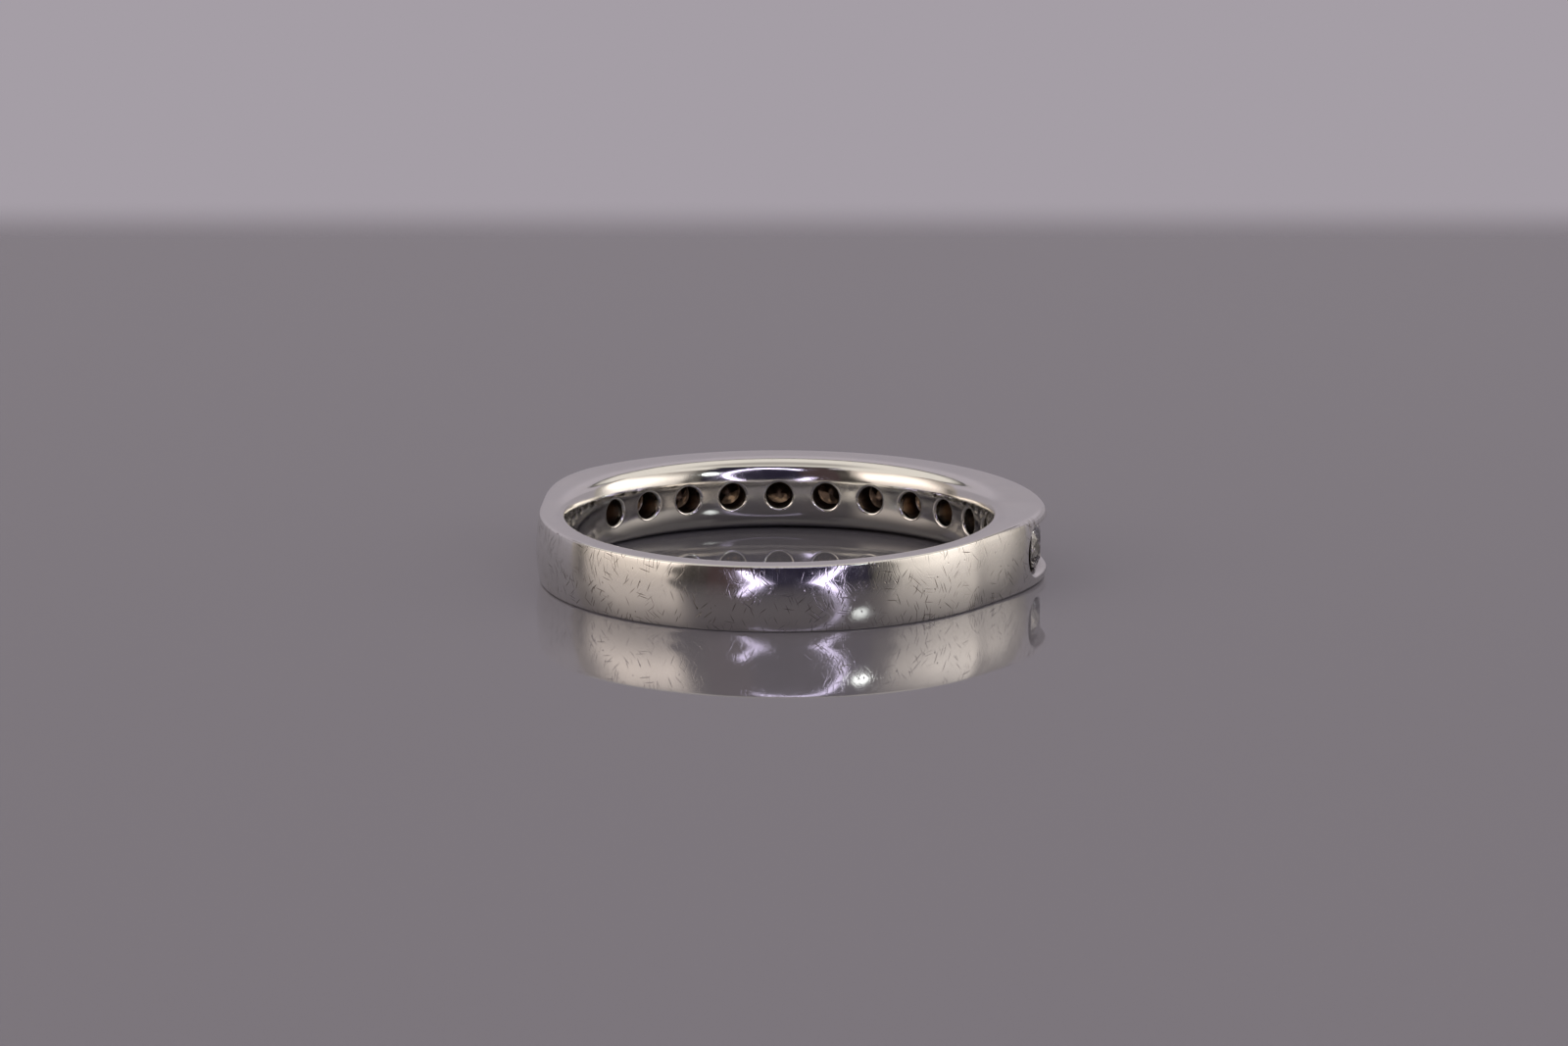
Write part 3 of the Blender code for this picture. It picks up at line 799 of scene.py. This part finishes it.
def brilliant_mesh():
    """A round brilliant with a round, faintly scalloped girdle, its axis on local Z.

    It is cut out of a cylinder with one plane a facet, as on a wheel: the table, eight kites, eight
    stars and sixteen upper halves above the girdle, and eight mains and sixteen lower halves below.
    Heights are measured from the girdle's lower edge. The work is done in millimetres.
    """
    radius, table = STONE_RADIUS / MM, TABLE_DIAMETER / 2 / MM
    girdle, top, depth = GIRDLE_HEIGHT / MM, (GIRDLE_HEIGHT + CROWN_HEIGHT) / MM, PAVILION_DEPTH / MM
    star, lower = radius * STAR_REACH, radius * LOWER_HALF_REACH
    half_step = math.pi / MAINS

    def rim(distance, turn, height):
        return Vector((distance * math.cos(turn), distance * math.sin(turn), height))

    bm = bmesh.new()
    bmesh.ops.create_cone(
        bm, cap_ends=True, segments=GIRDLE_SIDES, radius1=radius, radius2=radius, depth=top + depth
    )
    bmesh.ops.translate(bm, verts=bm.verts, vec=(0, 0, (top - depth) / 2))
    star_height = girdle + (radius - star * math.cos(half_step)) * math.tan(CROWN_ANGLE)
    lower_height = (lower * math.cos(half_step) - radius) * math.tan(PAVILION_ANGLE)
    facets = []
    for index in range(MAINS):
        corner = 2 * half_step * index
        between = corner + half_step
        past = corner + 2 * half_step
        star_tip = rim(star, between, star_height)
        lower_tip = rim(lower, between, lower_height)
        culet = Vector((0, 0, -depth))
        before_star = rim(star, between - 2 * half_step, star_height)
        before_lower = rim(lower, between - 2 * half_step, lower_height)
        facets.append((rim(table, corner, top), star_tip, before_star))
        facets.append((rim(table, corner, top), rim(table, past, top), star_tip))
        facets.append((culet, lower_tip, before_lower))
        for end in (corner, past):
            facets.append((star_tip, rim(radius, end, girdle), rim(radius, between, girdle)))
            facets.append((lower_tip, rim(radius, end, 0), rim(radius, between, 0)))
    inside = Vector((0, 0, girdle / 2))
    for first, second, third in facets:
        normal = (second - first).cross(third - first).normalized()
        if normal.dot(first - inside) < 0:
            normal.negate()
        cut_away(bm, first, normal)
    bmesh.ops.remove_doubles(bm, verts=bm.verts, dist=CORNER_DISTANCE)
    bmesh.ops.scale(bm, vec=(MM, MM, MM), verts=bm.verts)
    bmesh.ops.recalc_face_normals(bm, faces=bm.faces)
    mesh = bpy.data.meshes.new("brilliant")
    bm.to_mesh(mesh)
    bm.free()
    ups = np.array([polygon.normal.z for polygon in mesh.polygons])
    hold_values(mesh, "girdle", "FACE", np.abs(ups) < GIRDLE_LEAN)
    hold_values(mesh, "pavilion", "FACE", ups < -GIRDLE_LEAN)
    return mesh


class Graph:
    """Adds shader nodes to a tree. An input's value is a constant or another node's output."""

    def __init__(self, tree):
        self.tree = tree

    def add(self, kind, inputs=None, **settings):
        node = self.tree.nodes.new(kind)
        for name, value in settings.items():
            setattr(node, name, value)
        self.feed(node, inputs or {})
        return node

    def feed(self, node, inputs):
        for name, value in inputs.items():
            if isinstance(value, bpy.types.NodeSocket):
                self.tree.links.new(value, node.inputs[name])
            else:
                node.inputs[name].default_value = value

    def math(self, operation, *values):
        return self.add("ShaderNodeMath", dict(enumerate(values)), operation=operation).outputs[0]

    def value(self, attribute):
        """A value that the mesh holds under a name, as hold_values gave it."""
        return self.add("ShaderNodeAttribute", attribute_name=attribute).outputs["Fac"]

    def ramp(self, value, start, end, low=0.0, high=1.0):
        """Maps start..end to low..high smoothly and holds it beyond."""
        inputs = {"Value": value, "From Min": start, "From Max": end, "To Min": low, "To Max": high}
        return self.add("ShaderNodeMapRange", inputs, interpolation_type="SMOOTHSTEP").outputs[0]

    def noise(self, vector, scale, detail):
        inputs = {"Vector": vector, "Scale": scale, "Detail": detail}
        return self.add("ShaderNodeTexNoise", inputs).outputs["Fac"]

    def cloud(self, vector, scale, detail, start, end, low, high):
        return self.ramp(self.noise(vector, scale, detail), start, end, low, high)

    def mix(self, share, first, second):
        """Blends two colours. Its sockets go by number, because the float ones have the same names."""
        inputs = {0: share, 6: first, 7: second}
        return self.add("ShaderNodeMix", inputs, data_type="RGBA").outputs[2]


def new_material(name):
    material = bpy.data.materials.new(name)
    material.use_nodes = True
    shader = material.node_tree.nodes["Principled BSDF"]
    return material, Graph(material.node_tree), shader


def face_coordinates(graph):
    """Millimetres along the ring and across the band, from the place of a point on the metal."""
    place = graph.add("ShaderNodeTexCoord").outputs["Object"]
    axes = graph.add("ShaderNodeSeparateXYZ", {"Vector": place}).outputs
    y = graph.math("SUBTRACT", axes["Y"], BORE_CENTRE_Y)
    turn = graph.math("ARCTAN2", axes["X"], y)
    square = graph.math("MULTIPLY", y, y)
    radius = graph.math("SQRT", graph.math("MULTIPLY_ADD", axes["X"], axes["X"], square))
    along = graph.math("MULTIPLY", turn, (BORE_RADIUS + SHANK_THICKNESS) / MM)
    over = graph.math("DIVIDE", graph.math("ADD", axes["Z"], radius), MM)
    return graph.add("ShaderNodeCombineXYZ", {"X": along, "Y": over}).outputs[0]


def scratch_layer(graph, vector, turn, length, width, share):
    """Straight hairlines with tapered ends, one in each long cell that is kept."""
    scale = (length * SCRATCH_ROOM, width * SCRATCH_ROOM, 1)
    inputs = {"Vector": vector, "Rotation": (0, 0, math.radians(turn)), "Scale": scale}
    cell = graph.add("ShaderNodeMapping", inputs, vector_type="TEXTURE").outputs[0]
    cells = {"Vector": cell, "Scale": 1.0}
    voronoi = graph.add("ShaderNodeTexVoronoi", cells, voronoi_dimensions="2D").outputs
    chance = graph.add("ShaderNodeSeparateColor", {"Color": voronoi["Color"]}).outputs
    mark = graph.ramp(voronoi["Distance"], SCRATCH_EDGE, SCRATCH_CORE)
    kept = graph.math("LESS_THAN", chance["Red"], share)
    strength = graph.math("MULTIPLY_ADD", chance["Green"], 1 - FAINTEST_SCRATCH, FAINTEST_SCRATCH)
    return graph.math("MULTIPLY", mark, graph.math("MULTIPLY", kept, strength))


def wavered(graph, vector):
    """Bends a vector a little, so that straight marks laid out with it curve faintly."""
    noise = {"Vector": vector, "Scale": WAVER_SCALE, "Detail": 1.0}
    waver = graph.add("ShaderNodeTexNoise", noise).outputs["Color"]
    middle = {0: waver, 1: (0.5, 0.5, 0.5)}
    waver = graph.add("ShaderNodeVectorMath", middle, operation="SUBTRACT").outputs[0]
    waver = graph.add("ShaderNodeVectorMath", {0: waver, "Scale": WAVER}, operation="SCALE").outputs[0]
    return graph.add("ShaderNodeVectorMath", {0: vector, 1: waver}, operation="ADD").outputs[0]


def white_gold():
    """Polished white gold with the hairlines and haze of daily wear, and grime with painted shade where
    it is shut in.
    """
    material, graph, shader = new_material("white_gold_worn")
    straight = face_coordinates(graph)
    vector = wavered(graph, straight)

    wear = graph.math("MULTIPLY", graph.value("wear"), graph.cloud(straight, *WEAR_CLOUD))
    height, marks = 0.0, 0.0
    for turn, length, width, share, deep in SCRATCHES:
        mark = scratch_layer(graph, vector, turn, length, width, share)
        height = graph.math("MULTIPLY_ADD", mark, -deep, height)
        marks = graph.math("MAXIMUM", mark, marks)
    for turn, length, width, deep in HAZE:
        mark = scratch_layer(graph, vector, turn, length, width, 1.0)
        height = graph.math("MULTIPLY_ADD", mark, -deep, height)
    height = graph.math("MULTIPLY", height, wear)
    marks = graph.math("MULTIPLY", marks, wear)
    for size, high in WAVES:
        height = graph.math("MULTIPLY_ADD", graph.noise(straight, 1 / size, 1.0), high, height)

    shelter = graph.value("shelter")
    worn = graph.math("MULTIPLY_ADD", marks, SCRATCH_ROUGHNESS, graph.cloud(vector, *POLISH_CLOUD))
    roughness = graph.math("MULTIPLY_ADD", shelter, GRIME_ROUGHNESS, worn)
    clean = graph.mix(graph.cloud(vector, *TINT_CLOUD), PALE_GOLD, DEEP_GOLD)
    clean = graph.mix(graph.ramp(marks, *SCRATCH_SHADE), clean, SCRATCH_COLOUR)
    # Painted shade with grime: darker and browner where the metal is shut in
    colour = graph.mix(shelter, clean, SHUT_IN_SHADE_AND_GRIME_COLOUR)
    bump = graph.add("ShaderNodeBump", {"Strength": 1.0, "Distance": MM, "Height": height}).outputs[0]
    graph.feed(shader, {"Base Color": colour, "Roughness": roughness, "Normal": bump, "Metallic": 1.0})
    return material


def diamond():
    """Cut diamond: a frosted girdle, and a greasy film on the pavilion, near black as painted shade,
    with amber places as painted glints.
    """
    material, graph, shader = new_material("diamond_cut")
    place = graph.add("ShaderNodeTexCoord").outputs["Object"]
    pavilion = graph.value("pavilion")
    frosted = graph.math("MULTIPLY", graph.value("girdle"), GIRDLE_ROUGHNESS)
    smears = graph.cloud(place, *SMEAR_CLOUD)
    # Painted shade and glints: the pavilion's film is near black, with amber places for glints
    film_shade_and_glints = graph.mix(graph.cloud(place, *AMBER_GLINT_CLOUD), FILM_SHADE_AND_GREASE_COLOUR, AMBER_GLINT_COLOUR)
    colour = graph.mix(pavilion, CLEAR_COLOUR, film_shade_and_glints)
    roughness = graph.math("MULTIPLY_ADD", pavilion, smears, frosted)
    graph.feed(shader, {"Base Color": colour, "Roughness": roughness})
    graph.feed(shader, {"Transmission Weight": 1.0, "IOR": DIAMOND_IOR})
    return material


def direction(azimuth, elevation):
    """From the ring, azimuth degrees to the right of the camera and elevation degrees up."""
    turn, rise = math.radians(CAMERA_AZIMUTH + azimuth), math.radians(elevation)
    level = math.cos(rise)
    return Vector((level * math.sin(turn), -level * math.cos(turn), math.sin(rise)))


def glowing(name, colour):
    material, graph, _ = new_material(name)
    graph.tree.nodes.clear()
    lamp = graph.add("ShaderNodeEmission", {"Color": colour, "Strength": graph.value("glow")}).outputs[0]
    graph.add("ShaderNodeOutputMaterial", {"Surface": lamp})
    return material


def card(name, colour, points, glow):
    """A glowing sheet of the studio, seen by the metal and the floor but not by the camera."""
    points = np.array(points)
    mesh = new_mesh(name, points.reshape(-1, 3), grid_faces(*points.shape[:2]))
    hold_values(mesh, "glow", "POINT", np.ravel(glow))
    mesh.materials.append(glowing(name, colour))
    sheet = put_in_scene(name, mesh)
    sheet.visible_camera = False


def dome_card(name, colour, azimuths, elevations, radius, shine):
    """A sheet on a dome round the ring. shine gives its brightness at an azimuth and elevation."""
    azimuth = np.linspace(*azimuths, SHEET_STEPS + 1)
    elevation = np.linspace(*elevations, SHEET_STEPS + 1)
    points = [[direction(a, e) * radius for e in elevation] for a in azimuth]
    glow = [[shine(a, e) for e in elevation] for a in azimuth]
    card(name, colour, points, glow)


def left_box_shine(azimuth, elevation):
    """The left light box: dark towards the camera, the wall's level behind a dark strip on the left.

    Its edge towards the camera draws back low down, and both its edges are softest high up.
    """
    soft = step_up(elevation, *LEFT_SOFT_STEP)
    box = LEFT_SHINE + LEFT_HILL_RISE * hill(elevation, *LEFT_HILL)
    far = step_up(azimuth, LEFT_FAR_EDGE[0], LEFT_FAR_EDGE[1] + LEFT_FAR_SOFTER * soft)
    beside = WALL_SHINE + (box - WALL_SHINE) * far
    strip = 1 - LEFT_STRIP * hill(azimuth, *LEFT_STRIP_HILL) * step_up(elevation, *LEFT_STRIP_STEP)
    edge = LEFT_NEAR_EDGE - LEFT_NEAR_BEND * hill(elevation, *LEFT_NEAR_HILL)
    blur = LEFT_NEAR_BLUR + LEFT_NEAR_SOFTER * soft
    lit = step_up(azimuth, edge + blur, edge - blur)
    return beside * strip * (LEFT_DARK_SHINE + (1 - LEFT_DARK_SHINE) * lit)


def right_box_shine(azimuth, elevation):
    """The right light box: a dim sheet and then dark towards the camera, the wall's level on the right.

    It is brightest at mid height and to the right, and its far edge is crisper high up.
    """
    sideways = RIGHT_SHINE + RIGHT_STEP_RISE * step_up(azimuth, *RIGHT_STEP)
    up = RIGHT_FOOT + RIGHT_HILL_RISE * hill(elevation, *RIGHT_HILL)
    fall = RIGHT_TOP_FALL - RIGHT_TOP_REGAIN * step_up(azimuth, *RIGHT_REGAIN_STEP)
    box = sideways * up * (1 - fall * step_up(elevation, *RIGHT_TOP_STEP))
    crisp = step_up(elevation, *RIGHT_CRISP_STEP)
    far_start = RIGHT_FAR_EDGE[0] - RIGHT_FAR_CRISPER[0] * crisp
    far_end = RIGHT_FAR_EDGE[1] + RIGHT_FAR_CRISPER[1] * crisp
    beside = WALL_SHINE + (box - WALL_SHINE) * step_up(azimuth, far_start, far_end)
    dim = RIGHT_DIM_SHINE * step_up(azimuth, *RIGHT_DIM_STEP)
    edge = RIGHT_NEAR_EDGE + RIGHT_NEAR_BEND * hill(elevation, *RIGHT_NEAR_HILL)
    lit = step_up(azimuth, edge - RIGHT_NEAR_BLUR, edge + RIGHT_NEAR_BLUR)
    return dim + (beside - dim) * lit


def even_shine(azimuth, elevation):
    return 1.0


def ceiling_fall(elevation):
    return 1 - CEILING_FALL * step_up(elevation, *CEILING_FALL_STEP)


def ceiling_shine(azimuth, elevation):
    return CEILING_SHINE * step_up(elevation, *CEILING_STEP) * ceiling_fall(elevation)


def front_ceiling_shine(azimuth, elevation):
    return FRONT_CEILING_SHINE * step_up(elevation, *FRONT_CEILING_STEP) * ceiling_fall(elevation)


def round_light(name, colour, middle, radii, width, arc, profile):
    """A ring or disc of light. profile pairs shares of the width out from the radii with brightness."""
    points = []
    for turn in np.radians(np.linspace(*arc)):
        row = []
        for share, _ in profile:
            azimuth = middle[0] + (radii[0] + width[0] * share) * math.cos(turn)
            elevation = middle[1] + (radii[1] + width[1] * share) * math.sin(turn)
            row.append(direction(azimuth, elevation) * LAMP_DISTANCE)
        points.append(row)
    glow = [[shine for _, shine in profile]] * len(points)
    card(name, colour, points, glow)


def add_studio():
    shines = left_box_shine, right_box_shine, even_shine, even_shine, ceiling_shine, front_ceiling_shine
    for sheet, shine in zip(SHEETS, shines):
        dome_card(*sheet, shine)
    round_light("ring_light", **RING_LIGHT)
    round_light("lamp", **LAMP)


def add_wall():
    """A plain wall all round, which is also the room's light."""
    world = bpy.data.worlds.new("plain_wall")
    world.use_nodes = True
    graph = Graph(world.node_tree)
    way = graph.add("ShaderNodeTexCoord").outputs["Generated"]
    up = graph.add("ShaderNodeSeparateXYZ", {"Vector": way}).outputs["Z"]
    strength = graph.ramp(up, *WALL_STEP, 1.0, WALL_RISE)
    graph.feed(world.node_tree.nodes["Background"], {"Color": WALL_COLOUR, "Strength": strength})
    bpy.context.scene.world = world


def add_floor():
    """A sheet under the ring, square to the camera, that fades out at its straight back edge."""
    depths, widths = (-FLOOR_REACH, FLOOR_FADE_END), (-FLOOR_REACH, FLOOR_REACH)
    corners = np.array([(x, y, 0) for y in depths for x in widths])
    mesh = new_mesh("floor", corners, grid_faces(2, 2))
    material, graph, shader = new_material("floor_sheet")
    place = graph.add("ShaderNodeTexCoord").outputs["Object"]
    back = graph.add("ShaderNodeSeparateXYZ", {"Vector": place}).outputs["Y"]
    fade = graph.ramp(back, FLOOR_FADE_END, FLOOR_FADE_START)
    out = graph.add("ShaderNodeVectorMath", {0: place}, operation="LENGTH").outputs["Value"]
    inside, outside = BORE_RADIUS - FLOOR_SHADE_BLUR, BORE_RADIUS + FLOOR_SHADE_BLUR
    colour = graph.mix(graph.ramp(out, inside, outside, FLOOR_SHADE), (0, 0, 0, 1), FLOOR_COLOUR)
    graph.feed(shader, {"Base Color": colour, "Roughness": FLOOR_ROUGHNESS, "Alpha": fade})
    mesh.materials.append(material)
    floor = put_in_scene("floor", mesh)
    floor.location.z = -FLOOR_DROP
    floor.rotation_euler.z = math.radians(CAMERA_AZIMUTH)


def add_camera():
    """A long lens at the photograph's angle, aimed so that the ring falls where it does there."""
    right, up = direction(90, 0), direction(0, CAMERA_ELEVATION + 90)
    back = direction(0, CAMERA_ELEVATION)
    aim = Vector((0, BORE_CENTRE_Y, 0)) + right * AIM_RIGHT + up * AIM_ABOVE
    data = bpy.data.cameras.new("camera")
    data.sensor_width = SENSOR_WIDTH
    data.lens = SENSOR_WIDTH * CAMERA_DISTANCE / VIEW_WIDTH
    data.clip_start = CLIP_START
    data.clip_end = CLIP_END
    camera = put_in_scene("camera", data)
    facing = Matrix((right, up, back)).transposed().to_quaternion()
    camera.matrix_world = Matrix.LocRotScale(aim + back * CAMERA_DISTANCE, facing, None)
    bpy.context.scene.camera = camera


def add_piece(name, mesh, material, node):
    piece = put_in_scene(name, mesh)
    mesh.materials.clear()
    mesh.materials.append(material)
    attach(piece, "root")
    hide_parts(node)


def add_stones():
    material = diamond()
    stone_mesh = brilliant_mesh()
    for index in range(STONE_COUNT):
        angle, _ = stone_columns(index)
        number = f"{index + 1:02d}"
        x = GIRDLE_BASE_RADIUS * math.sin(angle)
        y = BORE_CENTRE_Y - GIRDLE_BASE_RADIUS * math.cos(angle)
        place = Matrix.Translation((x, y, SETTING_MID_HEIGHT))
        lean = Matrix.Rotation(angle, 4, "Z") @ Matrix.Rotation(math.pi / 2, 4, "X")
        spin = Matrix.Rotation(STONE_TURN * index, 4, "Z")
        mesh = stone_mesh.copy()
        mesh.transform(place @ lean @ spin)
        add_piece(f"brilliant_{number}", mesh, material, f"stone_{number}")


def main():
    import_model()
    add_piece("band_metal", band_mesh(), white_gold(), "band")
    add_stones()
    add_floor()
    add_wall()
    add_studio()
    add_camera()
    scene = bpy.context.scene
    scene.view_settings.view_transform = "Standard"


main()
